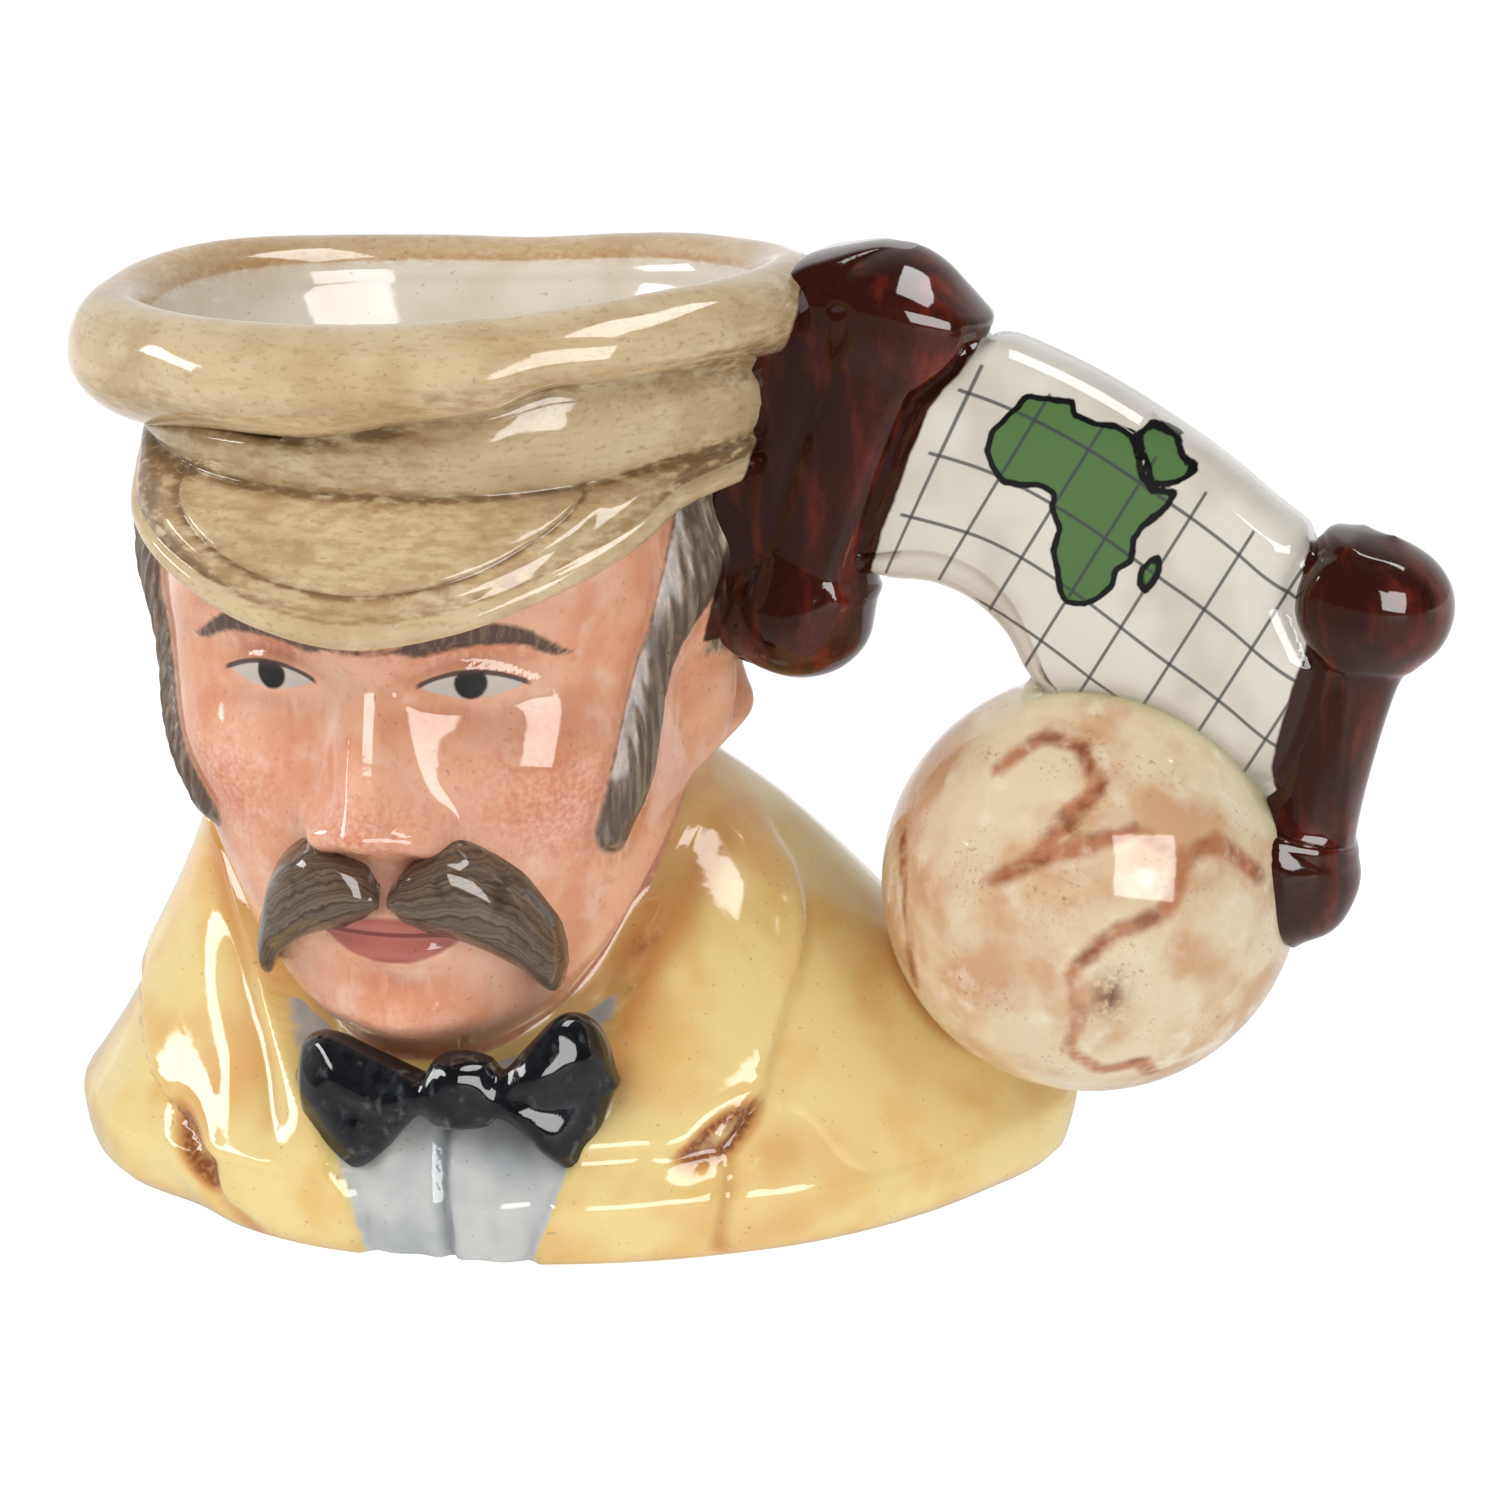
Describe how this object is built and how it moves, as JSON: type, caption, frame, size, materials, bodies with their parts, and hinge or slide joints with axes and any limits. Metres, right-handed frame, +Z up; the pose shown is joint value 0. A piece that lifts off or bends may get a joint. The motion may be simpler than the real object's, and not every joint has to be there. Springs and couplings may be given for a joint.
{
  "type": "character jug",
  "caption": "Glazed earthenware jug in the form of a man's head in a peaked cap, open at the cap's crown, with a handle of a map rolled out between two rollers above a globe.",
  "frame": {"origin": "in the flat underside, below the middle of the head and cap", "axes": "+Z up out of the jug's mouth, the face looks along -Y, the handle is on +X"},
  "size_m": [0.0582, 0.0306, 0.0399],
  "materials": {
    "glazed_earthenware": "hand-painted under a clear gloss glaze"
  },
  "bodies": {
    "root": {"jug": "glazed_earthenware"}
  },
  "joints": []
}
